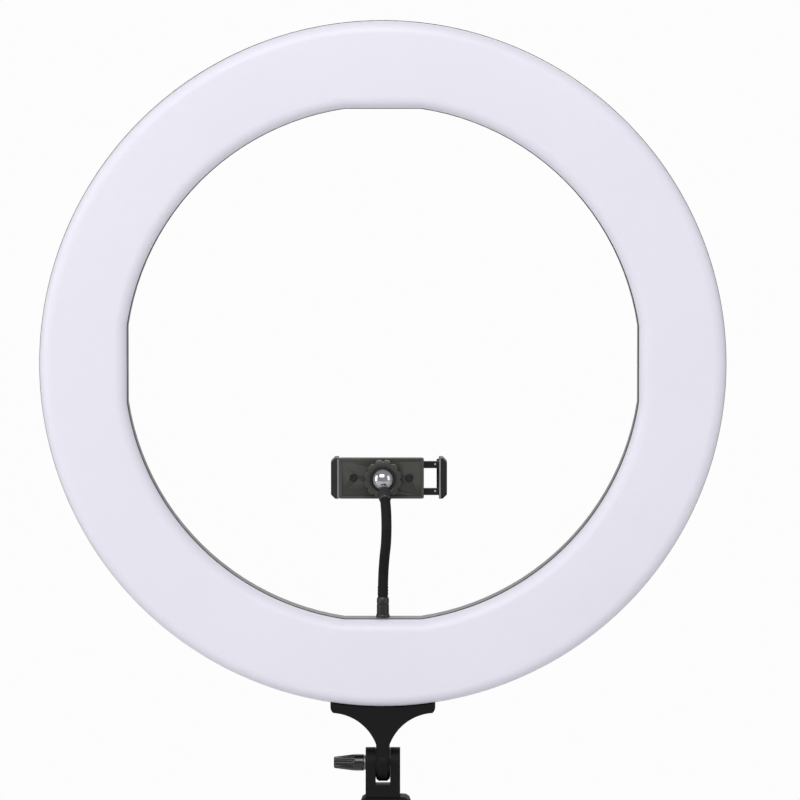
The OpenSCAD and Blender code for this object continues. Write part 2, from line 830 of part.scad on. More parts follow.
module clamp_outline(inset) {
    translate([clamp_mid_x, clamp_mid_z])
        rounded_rect(clamp_w - 2 * inset, clamp_h - 2 * inset, 1.4 - inset / 2);
}

module at_clamp_screws() {
    for (x = [-1, 1]) translate([clamp_mid_x + x * clamp_screw_x, 0, 0]) children();
}

// Clamp body: shell open at the back, collar for the nut, screw bosses, fixed jaw on the left.
module clamp_body() {
    color("#2f302e") at_ball() rotate([90, 0, 0]) difference() {
        union() {
            translate([0, 0, -clamp_front - clamp_depth]) linear_extrude(clamp_depth - 0.5)
                clamp_outline(0);
            translate([0, 0, -clamp_front - 0.6]) linear_extrude(0.6) difference() {
                clamp_outline(0);
                clamp_outline(2);
            }
            translate([0, 0, -clamp_front - 1]) cylinder(r = collar_r, h = collar_l);
            translate([jaw_left, 0, 0]) fixed_jaw_wall();
        }
        difference() {
            translate([0, 0, -clamp_front - clamp_depth - 1])
                linear_extrude(clamp_depth + 1 - clamp_wall - 0.5) clamp_outline(clamp_wall);
            at_clamp_screws() translate([0, 0, -clamp_front - clamp_depth])
                cylinder(r = 3.4, h = clamp_depth);
        }
        translate([0, 0, -clamp_front + 0.2]) cylinder(r = seat_r + 0.1, h = 9);
        at_clamp_screws() translate([0, 0, -clamp_front - clamp_depth - 1]) {
            cylinder(r = 1.6, h = clamp_depth + 4);
            translate([0, 0, clamp_depth - 1]) cylinder(r = 2.9, h = 4);
        }
        for (z = rail_z)
            translate([clamp_mid_x + clamp_w / 2 - 4, z - rail_h / 2 - 0.3, -clamp_front - 7.3])
                cube([8, rail_h + 0.6, rail_d + 0.6]);
    }
}

// Outline of a jaw from the front, with its two outer corners cut off; x grows outwards.
module jaw_outline() {
    cut = 3;
    half = jaw_h / 2;
    translate([0, clamp_mid_z]) polygon([[0, -half], [jaw_t - cut, -half], [jaw_t, cut - half],
        [jaw_t, half - cut], [jaw_t - cut, half], [0, half]]);
}

module fixed_jaw_wall() {
    translate([0, 0, -clamp_front - jaw_reach]) mirror([1, 0, 0]) linear_extrude(jaw_reach)
        jaw_outline();
    translate([0, clamp_mid_z - jaw_h / 2 + 2, -clamp_front - jaw_reach])
        cube([1.6, jaw_h - 4, 1.8]);
}

// Back plate that closes the body, against which the phone lies.
module clamp_back() {
    color("#232325") at_ball() rotate([90, 0, 0]) difference() {
        translate([0, 0, -clamp_front - clamp_depth - 1.6]) linear_extrude(1.6) clamp_outline(1.8);
        at_clamp_screws() translate([0, 0, -clamp_front - clamp_depth - 2])
            cylinder(r = 1.4, h = 3);
    }
}

module clamp_screws() {
    color("#3a3a3d") at_ball() rotate([90, 0, 0]) at_clamp_screws()
        translate([0, 0, -clamp_front - 1]) screw(2.6, 0.9, 1.4, 9.8);
}

// Ribbed rubber pad on the inside of a jaw, x growing inwards.
module jaw_pad() {
    pad_h = jaw_h - 5;
    translate([0, clamp_mid_z - pad_h / 2, -clamp_front - jaw_reach + 2.2]) {
        cube([0.8, pad_h, 9.1]);
        for (i = [0:3]) translate([0, 0, 0.6 + 2.4 * i]) cube([1.3, pad_h, 1.2]);
    }
}

module fixed_pad() {
    color("#1a1a1a") at_ball() rotate([90, 0, 0]) translate([jaw_left, 0, 0]) jaw_pad();
}

// Return spring, from the body's left wall to the sliding rails' cross bar.
module return_spring() {
    start = jaw_left + clamp_wall + 0.1;
    color("#8c8e92") at_ball() translate([start, clamp_front + 5, spring_z]) rotate([0, 90, 0])
        difference() {
            cylinder(r = spring_r, h = jaw_x - rail_l - 0.1 - start);
            translate([0, 0, -1]) cylinder(r = spring_r - 0.8, h = rail_l);
        }
}

// Sliding jaw: jaw wall, two rails and the cross bar that joins them inside the body.
module sliding_jaw() {
    color("#232325") at_ball() rotate([90, 0, 0]) {
        translate([jaw_x, 0, -clamp_front - jaw_reach]) {
            linear_extrude(jaw_reach) jaw_outline();
            translate([-1.6, clamp_mid_z - jaw_h / 2 + 2, 0]) cube([1.6, jaw_h - 4, 1.8]);
        }
        for (z = rail_z) translate([jaw_x - rail_l, z - rail_h / 2, -clamp_front - 7])
            cube([rail_l + 1, rail_h, rail_d]);
        translate([jaw_x - rail_l, rail_z[1], -clamp_front - 7])
            cube([3.5, rail_z[0] - rail_z[1], rail_d]);
    }
}

module sliding_pad() {
    color("#1a1a1a") at_ball() rotate([90, 0, 0]) translate([jaw_x, 0, 0]) mirror([1, 0, 0])
        jaw_pad();
}

// Steel pins across the rails that stop the jaw at its widest.
module rail_pins() {
    color("#b9babd") at_ball() rotate([90, 0, 0]) for (z = rail_z)
        translate([jaw_x - 2.7, z + 0.5, -clamp_front - 3]) cylinder(r = 0.7, h = 0.25, $fn = 24);
}

rear_housing();
diffuser();
heat_spreader();
led_boards();
warm_leds();
cool_leds();
board_jumpers();
board_screws();
housing_screws();
accessory_inserts();
control_cover();
cover_screws();
driver_board();
driver_components();
led_lead();
dc_inlet();
switch_frame();
switch_rocker();
dial_pots();
brightness_shaft();
brightness_knob();
colour_shaft();
colour_knob();
bracket();
bracket_plate();
bracket_screws();
friction_washers();
fork();
socket_body();
socket_bolt();
lock_bush();
lock_pad();
lock_screw();
lock_knob();
pivot_nut();
tilt_washer();
tilt_stud();
tilt_knob();
neck_stud();
neck_ferrule();
neck_link_1();
neck_link_2();
neck_link_3();
neck_link_4();
neck_link_5();
neck_link_6();
neck_link_7();
neck_top_ferrule();
ball_stem();
clamp_ball();
ball_seat();
ball_nut();
clamp_body();
clamp_back();
clamp_screws();
fixed_pad();
return_spring();
sliding_jaw();
sliding_pad();
rail_pins();
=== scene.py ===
"""Looks of the ring light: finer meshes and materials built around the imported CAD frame."""

import json
import math

import bmesh
import bpy
from mathutils import Matrix, Vector

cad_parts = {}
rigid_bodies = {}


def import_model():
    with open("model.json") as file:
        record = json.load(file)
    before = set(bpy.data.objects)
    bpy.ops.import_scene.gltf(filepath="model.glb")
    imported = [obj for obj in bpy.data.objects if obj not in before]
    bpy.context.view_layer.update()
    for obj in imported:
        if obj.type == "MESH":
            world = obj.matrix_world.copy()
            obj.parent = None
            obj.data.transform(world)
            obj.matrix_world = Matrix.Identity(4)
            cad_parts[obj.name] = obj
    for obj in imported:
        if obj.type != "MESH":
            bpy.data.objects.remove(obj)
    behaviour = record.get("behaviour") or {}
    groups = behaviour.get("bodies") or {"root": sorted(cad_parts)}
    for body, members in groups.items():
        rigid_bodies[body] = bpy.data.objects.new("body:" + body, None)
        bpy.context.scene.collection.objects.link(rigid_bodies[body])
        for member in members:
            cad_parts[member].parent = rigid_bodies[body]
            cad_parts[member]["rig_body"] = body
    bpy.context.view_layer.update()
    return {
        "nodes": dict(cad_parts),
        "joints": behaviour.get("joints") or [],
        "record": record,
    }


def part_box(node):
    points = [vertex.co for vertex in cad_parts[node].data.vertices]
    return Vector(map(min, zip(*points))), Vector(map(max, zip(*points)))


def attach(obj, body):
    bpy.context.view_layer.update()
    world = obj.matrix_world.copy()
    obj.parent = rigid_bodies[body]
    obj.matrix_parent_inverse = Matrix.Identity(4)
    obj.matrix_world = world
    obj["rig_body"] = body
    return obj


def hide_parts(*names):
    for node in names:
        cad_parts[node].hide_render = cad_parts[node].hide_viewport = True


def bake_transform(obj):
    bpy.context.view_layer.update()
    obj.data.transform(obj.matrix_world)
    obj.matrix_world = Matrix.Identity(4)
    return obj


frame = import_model()
nodes = frame["nodes"]
joints = {j["name"]: j for j in frame["joints"]}

MM = 0.001
RIGHT = Vector((1, 0, 0))
UP = Vector((0, 0, 1))
VIEWER = Vector((0, -1, 0))

# ---------------------------------------------------------------- places, all from the frame


def centre(node):
    low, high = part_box(node)
    return (low + high) / 2


def joint_pos(name):
    return Vector(joints[name]["pos_m"])


def joint_axis(name):
    return Vector(joints[name]["axis"]).normalized()


lens_low, lens_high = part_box("diffuser")
housing_low, housing_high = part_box("rear_housing")
RING_R = (housing_high.x - housing_low.x) / 2
LENS_R = (lens_high.x - lens_low.x) / 2
RING_CENTRE = centre("rear_housing")
SEAM_Y = housing_low.y
LENS_DEPTH = SEAM_Y - lens_low.y

# Rim that the housing leaves around the lens, and the lens's rolled corner and wall.
RIM = 0.5 * MM
LENS_CORNER = 8.7 * MM
LENS_WALL = 2 * MM

# The opening's radius, and the distance of its four flats from the centre.
OPENING_R = 184.1 * MM
FLAT_DIST = 182.1 * MM

# ---------------------------------------------------------------- node helpers for materials

# Pointiness over which a convex edge goes from its own colour to the lighter edge colour, part
# rubbed wear and part painted highlight.
EDGE_WEAR_SHEEN_FROM, EDGE_WEAR_SHEEN_TO = 0.52, 0.62


class Material:
    """A material with a Principled shader; the methods add nodes that feed it."""

    def __init__(self, name, colour, roughness, metallic=0.0, **settings):
        self.material = bpy.data.materials.new(name)
        self.material.use_nodes = True
        self.tree = self.material.node_tree
        self.shader = self.tree.nodes["Principled BSDF"]
        self.shader.inputs["Base Color"].default_value = (*colour, 1)
        self.shader.inputs["Roughness"].default_value = roughness
        self.shader.inputs["Metallic"].default_value = metallic
        for key, value in settings.items():
            self.shader.inputs[key.replace("_", " ")].default_value = value
        self.colour = colour
        self.roughness = roughness
        self.coordinates = self.tree.nodes.new("ShaderNodeTexCoord").outputs["Object"]

    def noise(self, scale, detail=3.0, stretch=None):
        """Noise over the object, scale per metre; stretch scales it along X, Y and Z."""
        node = self.tree.nodes.new("ShaderNodeTexNoise")
        node.inputs["Scale"].default_value = scale
        node.inputs["Detail"].default_value = detail
        source = self.coordinates
        if stretch:
            mapping = self.tree.nodes.new("ShaderNodeMapping")
            mapping.inputs["Scale"].default_value = stretch
            self.tree.links.new(source, mapping.inputs["Vector"])
            source = mapping.outputs["Vector"]
        self.tree.links.new(source, node.inputs["Vector"])
        return node.outputs["Fac"]

    def spread(self, source, low, high, from_low=0.3, from_high=0.7):
        """Maps the source's usual span onto low to high."""
        node = self.tree.nodes.new("ShaderNodeMapRange")
        node.inputs["From Min"].default_value = from_low
        node.inputs["From Max"].default_value = from_high
        node.inputs["To Min"].default_value = low
        node.inputs["To Max"].default_value = high
        self.tree.links.new(source, node.inputs["Value"])
        return node.outputs["Result"]

    def mix(self, factor, first, second):
        """Blends two colours, each of them a tuple or a node's output."""
        node = self.tree.nodes.new("ShaderNodeMix")
        node.data_type = "RGBA"
        for socket, value in (("A", first), ("B", second)):
            target = [s for s in node.inputs if s.name == socket and s.type == "RGBA"][0]
            if isinstance(value, (tuple, list)):
                target.default_value = (*value, 1)
            else:
                self.tree.links.new(value, target)
        self.tree.links.new(factor, node.inputs["Factor"])
        return [s for s in node.outputs if s.type == "RGBA"][0]

    def vary_colour(self, scale, light, dark, detail=4.0):
        """Mottles the base colour between dark and light times itself."""
        shade = [tuple(c * k for c in self.colour) for k in (dark, light)]
        factor = self.spread(self.noise(scale, detail), 0, 1)
        colour = self.mix(factor, *shade)
        self.tree.links.new(colour, self.shader.inputs["Base Color"])
        return colour

    def edge_wear_and_sheen(self, colour, worn_and_lit, amount):
        """Lightens convex edges towards the given colour: part rubbed wear, part a painted
        highlight where the rounded edges catch the light.
        """
        geometry = self.tree.nodes.new("ShaderNodeNewGeometry")
        edge = self.spread(geometry.outputs["Pointiness"], 0, amount, EDGE_WEAR_SHEEN_FROM, EDGE_WEAR_SHEEN_TO)
        result = self.mix(edge, colour, worn_and_lit)
        self.tree.links.new(result, self.shader.inputs["Base Color"])

    def vary_roughness(self, scale, span, stretch=None):
        """Lets the roughness wander by up to span either way."""
        rough = self.spread(self.noise(scale, stretch=stretch),
                            self.roughness - span, self.roughness + span)
        self.tree.links.new(rough, self.shader.inputs["Roughness"])

    def grain(self, scale, depth, strength=0.5, detail=2.0, stretch=None):
        """Bumps the surface by the depth."""
        bump = self.tree.nodes.new("ShaderNodeBump")
        bump.inputs["Distance"].default_value = depth
        bump.inputs["Strength"].default_value = strength
        self.tree.links.new(self.noise(scale, detail, stretch), bump.inputs["Height"])
        self.tree.links.new(bump.outputs["Normal"], self.shader.inputs["Normal"])


def moulded_plastic(name, colour, roughness, grain_scale, grain_depth, worn_and_lit=None, level=0.5):
    """Moulded plastic: fine spark-eroded grain, slight mottling, convex edges lightened by
    rubbed wear and a painted highlight.
    """
    made = Material(name, colour, roughness, Specular_IOR_Level=level)
    base = made.vary_colour(60, 1.12, 0.88)
    # Convex edges lighten: part rubbed wear, part painted highlight.
    if worn_and_lit:
        made.edge_wear_and_sheen(base, worn_and_lit, 0.35)
    made.vary_roughness(140, 0.06)
    made.grain(grain_scale, grain_depth)
    return made.material


def machined_metal(name, colour, roughness, stretch=(1, 1, 1), streaks=900):
    """Metal with fine tool marks along one direction."""
    made = Material(name, colour, roughness, metallic=1.0)
    made.vary_colour(120, 1.05, 0.9)
    made.vary_roughness(streaks, 0.08, stretch=stretch)
    made.grain(streaks, 0.01 * MM, 0.3, stretch=stretch)
    return made.material


def lens_material():
    """Milky acrylic, slightly lilac, that lets light in a little."""
    made = Material("milky_lens", (0.765, 0.753, 0.852), 0.42, Subsurface_Weight=0.25,
                    Subsurface_Scale=4 * MM, Specular_IOR_Level=0.35)
    made.shader.inputs["Subsurface Radius"].default_value = (1.0, 0.9, 1.1)
    made.vary_colour(9, 1.012, 0.988, 2.0)
    made.vary_roughness(45, 0.03)
    made.grain(2600, 0.012 * MM, 0.25)
    return made.material


def chrome_material():
    """Polished plating with faint smears."""
    made = Material("polished_chrome", (0.5, 0.5, 0.52), 0.07, metallic=1.0)
    made.vary_colour(260, 1.02, 0.95)
    made.vary_roughness(700, 0.03)
    return made.material


def rubber_material(name, colour):
    """Dull rubber with a coarse grain."""
    made = Material(name, colour, 0.72, Specular_IOR_Level=0.15)
    made.vary_colour(180, 1.25, 0.8)
    made.vary_roughness(320, 0.08)
    made.grain(1500, 0.05 * MM, 0.6, 4.0)
    return made.material


def board_material(name, colour):
    """Solder mask, component cases and other small, even surfaces."""
    made = Material(name, colour, 0.4)
    made.vary_colour(300, 1.1, 0.9)
    made.grain(1200, 0.02 * MM, 0.4)
    return made.material


def paint_material(name, colour):
    """Printed paint, a little uneven."""
    made = Material(name, colour, 0.45)
    made.vary_colour(400, 1.03, 0.93)
    return made.material


# Slots of the record, and after red_wire the looks that only this script tells apart.
MATERIALS = {
    "lens": lens_material(),
    # A moulded plastic's last colour lightens its convex edges: part rubbed wear, part painted
    # highlight.
    "housing_plastic": moulded_plastic(
        "dark_housing", (0.012, 0.012, 0.0135), 0.55, 1700, 0.06 * MM, (0.04, 0.04, 0.043), 0.2),
    "bracket_plastic": moulded_plastic(
        "bracket_nylon", (0.005, 0.005, 0.0055), 0.55, 1400, 0.05 * MM,
        (0.014, 0.014, 0.014), 0.14),
    "knob_plastic": moulded_plastic(
        "knob_gloss", (0.006, 0.006, 0.0065), 0.2, 900, 0.01 * MM, (0.02, 0.02, 0.02), 0.6),
    "clamp_plastic": moulded_plastic(
        "clamp_satin", (0.036, 0.038, 0.032), 0.42, 1500, 0.04 * MM, (0.11, 0.112, 0.1), 0.35),
    "jaw_plastic": moulded_plastic(
        "jaw_gloss", (0.007, 0.007, 0.0075), 0.3, 1300, 0.02 * MM, (0.05, 0.05, 0.05), 0.3),
    "black_gloss": moulded_plastic(
        "switch_gloss", (0.012, 0.012, 0.013), 0.22, 1100, 0.01 * MM),
    "neck_fitting": moulded_plastic(
        "ferrule_satin", (0.012, 0.012, 0.013), 0.38, 1200, 0.02 * MM, (0.05, 0.05, 0.05)),
    "neck_rubber": rubber_material("neck_jacket", (0.009, 0.009, 0.0095)),
    "pad_rubber": rubber_material("grip_rubber", (0.012, 0.012, 0.012)),
    "chrome": chrome_material(),
    "steel": machined_metal("zinc_steel", (0.62, 0.63, 0.65), 0.32),
    "aluminium": machined_metal("rolled_aluminium", (0.78, 0.79, 0.8), 0.38, (1, 1, 0.1)),
    "brass": machined_metal("turned_brass", (0.72, 0.52, 0.22), 0.3, (1, 1, 8)),
    "dark_screw": machined_metal("blackened_steel", (0.05, 0.05, 0.055), 0.35),
    "nylon": moulded_plastic("black_nylon", (0.012, 0.012, 0.013), 0.45, 900, 0.03 * MM),
    "white_board": board_material("white_mask", (0.85, 0.85, 0.83)),
    "green_board": board_material("green_mask", (0.02, 0.17, 0.06)),
    "component": board_material("component_black", (0.03, 0.03, 0.035)),
    "warm_led": board_material("warm_phosphor", (0.9, 0.62, 0.14)),
    "cool_led": board_material("cool_phosphor", (0.88, 0.84, 0.36)),
    "red_wire": board_material("red_insulation", (0.5, 0.03, 0.03)),
    "dull_steel": machined_metal("dull_nickel", (0.3, 0.3, 0.31), 0.45),
    # Painted highlight: light grey for the strips on the jaws' inner edges, where the rounded
    # edge catches the light.
    "jaw_highlight_strip": moulded_plastic("painted_highlight_grey", (0.22, 0.22, 0.23), 0.4, 1200, 0.02 * MM),
    # Painted reflection: mid grey on the housing's inner wall for the white surround it reflects
    # at a grazing angle.
    "wall_reflection_paint": moulded_plastic(
        "painted_reflection_grey", (0.26, 0.26, 0.27), 0.5, 1700, 0.03 * MM, None, 0.35),
    "marking": paint_material("dial_marking", (0.75, 0.75, 0.74)),
}

SLOT_OF = {s["node"]: s["material_slot"] for s in frame["record"]["subparts"]}


def dress(piece, slot):
    """Gives the object one material and nothing else."""
    piece.data.materials.clear()
    piece.data.materials.append(MATERIALS[slot])


# ---------------------------------------------------------------- mesh helpers


def new_piece(name, body, slot, made, sharp_angle=35.0):
    """Turns a bmesh into a piece that rides on a body, smooth but for its sharp edges."""
    bmesh.ops.recalc_face_normals(made, faces=made.faces)
    data = bpy.data.meshes.new(name)
    made.to_mesh(data)
    made.free()
    data.shade_smooth()
    data.set_sharp_from_angle(angle=math.radians(sharp_angle))
    piece = bpy.data.objects.new(name, data)
    bpy.context.scene.collection.objects.link(piece)
    dress(piece, slot)
    if body:
        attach(piece, body)
    return piece


def stand_along(origin, axis):
    """Matrix that puts local +Z along axis at origin."""
    z = axis.normalized()
    steep = abs(z.z) >= 0.9
    x = RIGHT if steep else UP
    x = (x - z * x.dot(z)).normalized()
    y = z.cross(x)
    return Matrix.Translation(origin) @ Matrix((x, y, z)).transposed().to_4x4()


def bridge(made, rings, close_path=False):
    """Quads between successive rings of vertices, each ring closed."""
    pairs = list(zip(rings, rings[1:]))
    if close_path:
        pairs.append((rings[-1], rings[0]))
    for a, b in pairs:
        count = len(a)
        for i in range(count):
            k = (i + 1) % count
            made.faces.new((a[i], a[k], b[k], b[i]))


def ring_of(made, radius, z, segments, wave=None):
    """A ring of vertices about local Z; wave gives the radius at an angle."""
    verts = []
    for i in range(segments):
        angle = 2 * math.pi * i / segments
        r = radius if wave is None else wave(radius, angle)
        verts.append(made.verts.new((r * math.cos(angle), r * math.sin(angle), z)))
    return verts


def cap(made, ring, z):
    """Closes a ring with a fan around its centre."""
    middle = made.verts.new((0, 0, z))
    for i, vert in enumerate(ring):
        made.faces.new((vert, ring[(i + 1) % len(ring)], middle))


def lathe(name, body, slot, profile, place, segments=96, solid=True):
    """A turned piece: profile is a list of (radius, height); solid closes it at the axis."""
    made = bmesh.new()
    rings = [ring_of(made, r, z, segments) for r, z in profile]
    bridge(made, rings, close_path=not solid)
    if solid:
        cap(made, rings[0], profile[0][1])
        cap(made, rings[-1], profile[-1][1])
    bmesh.ops.transform(made, matrix=place, verts=made.verts)
    return new_piece(name, body, slot, made)


def arc(cx, cz, radius, start, end, steps):
    """Points of an arc in the (radius, height) plane, angles in degrees."""
    points = []
    for i in range(steps + 1):
        angle = math.radians(start + (end - start) * i / steps)
        points.append((cx + radius * math.cos(angle), cz + radius * math.sin(angle)))
    return points


def tiny_bar(size, place, rounding):
    """A bar with rounded edges, as a bmesh."""
    made = bmesh.new()
    bmesh.ops.create_cube(made, size=1.0)
    bmesh.ops.scale(made, vec=size, verts=made.verts)
    bmesh.ops.translate(made, vec=place, verts=made.verts)
    bmesh.ops.bevel(made, geom=made.edges[:], offset=rounding, segments=2, affect="EDGES")
    return made


# Vertices nearer than this are welded, and faces that bend less than this are merged.
WELD_DIST = 1e-6
MERGE_ANGLE = math.radians(0.6)
EDGE_ANGLE = 32.0


def soften(node, width, cut_x=None):
    """A copy of a CAD node with its moulded edges rounded, which stands for the node.

    Faces that cross the plane at cut_x are split there, so that repaint can part them.
    """
    source = nodes[node]
    made = bmesh.new()
    made.from_mesh(source.data)
    bmesh.ops.remove_doubles(made, verts=made.verts, dist=WELD_DIST)
    bmesh.ops.dissolve_limit(
        made, angle_limit=MERGE_ANGLE, verts=made.verts, edges=made.edges)
    if cut_x is not None:
        bmesh.ops.bisect_plane(
            made, geom=made.verts[:] + made.edges[:] + made.faces[:],
            plane_co=(cut_x, 0, 0), plane_no=(1, 0, 0))
    piece = new_piece(
        node + "_rounded", source["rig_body"], SLOT_OF[node], made, EDGE_ANGLE)
    bevel = piece.modifiers.new("rounded_edges", "BEVEL")
    bevel.width = width
    bevel.segments = 2
    bevel.limit_method = "ANGLE"
    bevel.angle_limit = math.radians(EDGE_ANGLE)
    bevel.harden_normals = True
    bevel.use_clamp_overlap = True
    bevel.miter_outer = "MITER_ARC"
    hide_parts(node)
    return piece


def repaint(piece, slot, chosen):
    """Gives the faces for which chosen(centre, normal) holds a second material."""
    piece.data.materials.append(MATERIALS[slot])
    for face in piece.data.polygons:
        if chosen(face.center, face.normal):
            face.material_index = 1


# ---------------------------------------------------------------- lens


def opening_radius(angle, grow):
    """Distance from the ring's centre to the opening's edge: an arc cut by four flats."""
    reach = max(abs(math.cos(angle)), abs(math.sin(angle)))
    return min(OPENING_R + grow, (FLAT_DIST + grow) / reach)


def ring_angles():
    """Angles around the ring, with a point at each end of each flat."""
    corner = math.acos((FLAT_DIST + RIM) / (OPENING_R + RIM))
    half_flat, between = 6, 72
    span = math.pi / 2 - 2 * corner
    angles = []
    for quarter in range(4):
        middle = quarter * math.pi / 2
        angles += [middle + corner * k / half_flat for k in range(-half_flat, half_flat)]
        angles += [middle + corner + span * k / between for k in range(between)]
    return angles


def lens_profile():
    """Section of the lens from its inner foot over the face to its outer foot and back.

    Each point is (share, inset, height): share 0 is measured outwards from the opening's
    edge and share 1 inwards from the outer edge.
    """
    middle = LENS_DEPTH - LENS_CORNER
    fine, coarse = 10, 6
    rising = arc(LENS_CORNER, middle, LENS_CORNER, 180, 90, fine)
    falling = arc(LENS_CORNER, middle, LENS_CORNER, 90, 180, fine)
    front = [(0, 0, 0)] + [(0, r, z) for r, z in rising]
    front += [(1, r, z) for r, z in falling] + [(1, 0, 0)]
    bend = LENS_CORNER - LENS_WALL
    centre_r, centre_z = LENS_WALL + bend, LENS_DEPTH - LENS_WALL - bend
    rising = arc(centre_r, centre_z, bend, 180, 90, coarse)
    falling = arc(centre_r, centre_z, bend, 90, 180, coarse)
    back = [(1, LENS_WALL, 0)] + [(1, r, z) for r, z in rising]
    back += [(0, r, z) for r, z in falling] + [(0, LENS_WALL, 0)]
    return front + back


def build_lens():
    """The milky diffuser, rolled over at both edges."""
    made = bmesh.new()
    rings = []
    for share, inset, height in lens_profile():
        verts = []
        for angle in ring_angles():
            if share == 0:
                r = opening_radius(angle, RIM) + inset
            else:
                r = LENS_R - inset
            verts.append(made.verts.new((
                RING_CENTRE.x + r * math.cos(angle), SEAM_Y - height,
                RING_CENTRE.z + r * math.sin(angle))))
        rings.append(verts)
    bridge(made, rings, close_path=True)
    lens = new_piece("milky_diffuser", "head", "lens", made, 50.0)
    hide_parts("diffuser")


def build_rim():
    """The housing's front edge, a thin dark bead around the lens."""
    inner, outer, height, round_off = RING_R - 0.9 * MM, RING_R, 1.1 * MM, 0.2 * MM
    foot = -0.3 * MM
    profile = [(inner, foot), (inner, height - round_off), (inner + round_off, height),
               (outer - round_off, height), (outer, height - round_off), (outer, foot)]
    seam = Vector((RING_CENTRE.x, SEAM_Y, RING_CENTRE.z))
    lathe("housing_rim", "head", "bracket_plastic", profile, stand_along(seam, VIEWER),
          segments=360, solid=False)


# ---------------------------------------------------------------- neck

link_low, link_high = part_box("neck_link_1")
NECK_R = min((link_high.x - link_low.x) / 2, 3.65 * MM)
STEM_AXIS = joint_axis("ball_spin")
BALL = joint_pos("ball_spin")
HINGES = 6

# The jacket ends this far below the ball; no part of it may stand before NECK_FRONT.
TOP_RUN = 20 * MM
NECK_FRONT = min(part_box("neck_link_%d" % (i + 1))[0].y for i in range(HINGES + 1))

# Points of the centreline to each hinge, and stations between two of them.
CURVE_STEPS = 14
FINE_STEPS = 3
JACKET_SEGMENTS = 40

# Moulded rings above the ferrule: distances along the neck and width in millimetres, height.
JACKET_RINGS = (2.2, 4.4, 6.6)
RING_WIDTH = 0.55
RING_HEIGHT = 0.28 * MM


def neck_points():
    """The neck's foot, its hinges and its upper end, from the frame."""
    foot = centre("neck_ferrule")
    foot.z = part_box("neck_ferrule")[1].z
    hinges = [joint_pos("neck_bend_%d" % (i + 1)) for i in range(HINGES)]
    return [foot] + hinges + [BALL - STEM_AXIS * TOP_RUN]


def neck_curve():
    """Smooth centreline through the neck's points; the two end spans take half the steps."""
    points = neck_points()
    lengths = [(b - a).length for a, b in zip(points, points[1:])]
    tangents = [UP.copy()]
    for i in range(1, len(points) - 1):
        before = (points[i] - points[i - 1]) / lengths[i - 1]
        after = (points[i + 1] - points[i]) / lengths[i]
        share = lengths[i - 1] / (lengths[i - 1] + lengths[i])
        tangents.append((before * (1 - share) + after * share).normalized())
    tangents.append(STEM_AXIS.copy())
    curve = []
    for i, length in enumerate(lengths):
        inner = 0 < i < len(lengths) - 1
        count = CURVE_STEPS if inner else CURVE_STEPS // 2
        for k in range(count):
            t = k / count
            h00 = 2 * t ** 3 - 3 * t ** 2 + 1
            h10 = t ** 3 - 2 * t ** 2 + t
            h01 = 3 * t ** 2 - 2 * t ** 3
            h11 = t ** 3 - t ** 2
            curve.append(points[i] * h00 + tangents[i] * length * h10
                         + points[i + 1] * h01 + tangents[i + 1] * length * h11)
    curve.append(points[-1])
    return curve


def jacket_radius(distance):
    """Jacket radius along the neck, with its moulded rings."""
    r = NECK_R
    for ring in JACKET_RINGS:
        gap = (distance / MM - ring) / RING_WIDTH
        r += RING_HEIGHT * math.exp(-gap * gap)
    return r


def build_neck():
    """The jacket in six pieces, each bending across one hinge."""
    curve = neck_curve()
    frames = []
    side = RIGHT
    travelled = 0.0
    for i, point in enumerate(curve):
        ahead = curve[min(i + 1, len(curve) - 1)]
        behind = curve[max(i - 1, 0)]
        tangent = (ahead - behind).normalized()
        side = (side - tangent * side.dot(tangent)).normalized()
        frames.append((point, tangent, side.copy(), travelled))
        if i + 1 < len(curve):
            travelled += (curve[i + 1] - point).length
    for hinge in range(HINGES):
        first = hinge * CURVE_STEPS
        build_jacket_piece(hinge, frames[first:first + CURVE_STEPS + 1])


def build_jacket_piece(hinge, frames):
    """One piece of the jacket, around the hinge and halfway to the next on either side."""
    made = bmesh.new()
    rings = []
    fine = []
    for a, b in zip(frames, frames[1:]):
        for k in range(FINE_STEPS):
            t = k / FINE_STEPS
            fine.append(tuple(x * (1 - t) + y * t for x, y in zip(a, b)))
    fine.append(frames[-1])
    for point, tangent, side, distance in fine:
        tangent = tangent.normalized()
        side = (side - tangent * side.dot(tangent)).normalized()
        other = tangent.cross(side)
        r = jacket_radius(distance)
        ring = []
        for i in range(JACKET_SEGMENTS):
            a = 2 * math.pi * i / JACKET_SEGMENTS
            place = point + (side * math.cos(a) + other * math.sin(a)) * r
            place.y = max(place.y, NECK_FRONT)
            ring.append(made.verts.new(place))
        rings.append(ring)
    bridge(made, rings)
    for ring, entry in ((rings[0], fine[0]), (rings[-1], fine[-1])):
        middle = made.verts.new(entry[0])
        for i, vert in enumerate(ring):
            made.faces.new((vert, ring[(i + 1) % JACKET_SEGMENTS], middle))
    piece = new_piece("neck_jacket_%d" % (hinge + 1), None, "neck_rubber", made, 60.0)
    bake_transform(piece)
    replaced = ["neck_link_%d" % (hinge + 2)]
    if hinge == 0:
        replaced.append("neck_link_1")
    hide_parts(*replaced)


